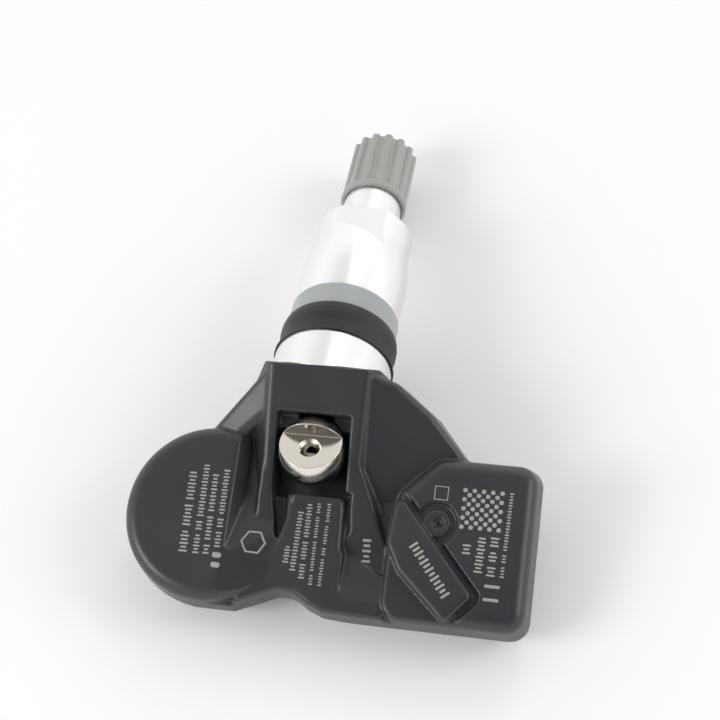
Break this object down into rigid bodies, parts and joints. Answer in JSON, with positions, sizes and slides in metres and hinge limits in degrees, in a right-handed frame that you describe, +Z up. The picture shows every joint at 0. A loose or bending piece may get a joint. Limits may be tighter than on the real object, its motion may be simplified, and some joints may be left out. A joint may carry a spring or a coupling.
{
  "type": "tyre pressure sensor",
  "caption": "Tyre pressure sensor: dark moulded case with an open pocket for a ball-headed bolt, and a clamp-in valve with rubber seal, washer, sleeve nut and ribbed cap.",
  "frame": {"origin": "centre of the rim seat on the valve axis: the plane where the rubber seal meets the inside of the rim", "axes": "lying on a table with the print side up: +Z up, +Y towards the valve cap as seen from above, +X to the right of the valve, where the electronics block is; the valve axis dips 9 degrees below +Y"},
  "size_m": [0.0556, 0.0774, 0.0207],
  "materials": {
    "case_plastic": "fine moulded texture, satin",
    "base_plastic": "fine moulded texture, matte",
    "board": "solder resist",
    "steel": "plain bright",
    "chip_black": "moulded epoxy",
    "ceramic_tan": "matte",
    "ferrite": "matte",
    "copper": "enamelled copper",
    "nickel": "warm bright nickel plating",
    "valve_metal": "satin bright",
    "nut_metal": "satin bright",
    "black_rubber": "moulded matte",
    "grey_ring": "moulded satin",
    "cap_grey": "moulded satin",
    "brass": "turned"
  },
  "bodies": {
    "case": {"case_shell": "case_plastic", "base_plate": "base_plastic", "circuit_board": "board", "coin_cell": "steel", "cell_tab_positive": "steel", "cell_tab_negative": "steel", "sensor_chip": "chip_black", "port_gasket": "black_rubber", "controller_chip": "chip_black", "quartz_crystal": "steel", "capacitor_large": "ceramic_tan", "capacitor_small": "ceramic_tan", "coil_core": "ferrite", "coil_winding": "copper", "antenna_loop": "copper"},
    "valve": {"valve_stem": "valve_metal", "ball_bolt": "nickel", "seal_grommet": "black_rubber", "core_barrel": "brass", "core_gasket": "black_rubber"},
    "washer": {"thrust_washer": "grey_ring"},
    "nut": {"collar_nut": "nut_metal"},
    "core_pin": {"core_pin": "brass", "core_seat": "black_rubber", "core_spring": "steel"},
    "cap_seal": {"cap_seal": "black_rubber"},
    "cap": {"valve_cap": "cap_grey"}
  },
  "joints": [
    {"name": "valve_tilt", "type": "hinge", "parent": "case", "child": "valve", "pos_m": [0, -0.01926, 0.00305], "axis": [1, 0, 0], "range_deg": [-8, 8]},
    {"name": "nut_lift", "type": "slide", "parent": "valve", "child": "washer", "axis": [0, 0.9877, -0.1564], "range_m": [0, 0.001]},
    {"name": "nut_turn", "type": "hinge", "parent": "washer", "child": "nut", "pos_m": [0, 0, 0], "axis": [0, 0.9877, -0.1564], "range_deg": [0, 360]},
    {"name": "pin_press", "type": "slide", "parent": "valve", "child": "core_pin", "axis": [0, -0.9877, 0.1564], "range_m": [0, 0.0015], "stiffness_N_per_m": 400},
    {"name": "cap_lift", "type": "slide", "parent": "valve", "child": "cap_seal", "axis": [0, 0.9877, -0.1564], "range_m": [0, 0.00635]},
    {"name": "cap_turn", "type": "hinge", "parent": "cap_seal", "child": "cap", "pos_m": [0, 0, 0], "axis": [0, 0.9877, -0.1564], "range_deg": [0, 2880]}
  ],
  "couplings": [
    {"joint": "nut_turn", "follows": "nut_lift", "rad_per_m": 6283},
    {"joint": "cap_turn", "follows": "cap_lift", "rad_per_m": 7915}
  ]
}
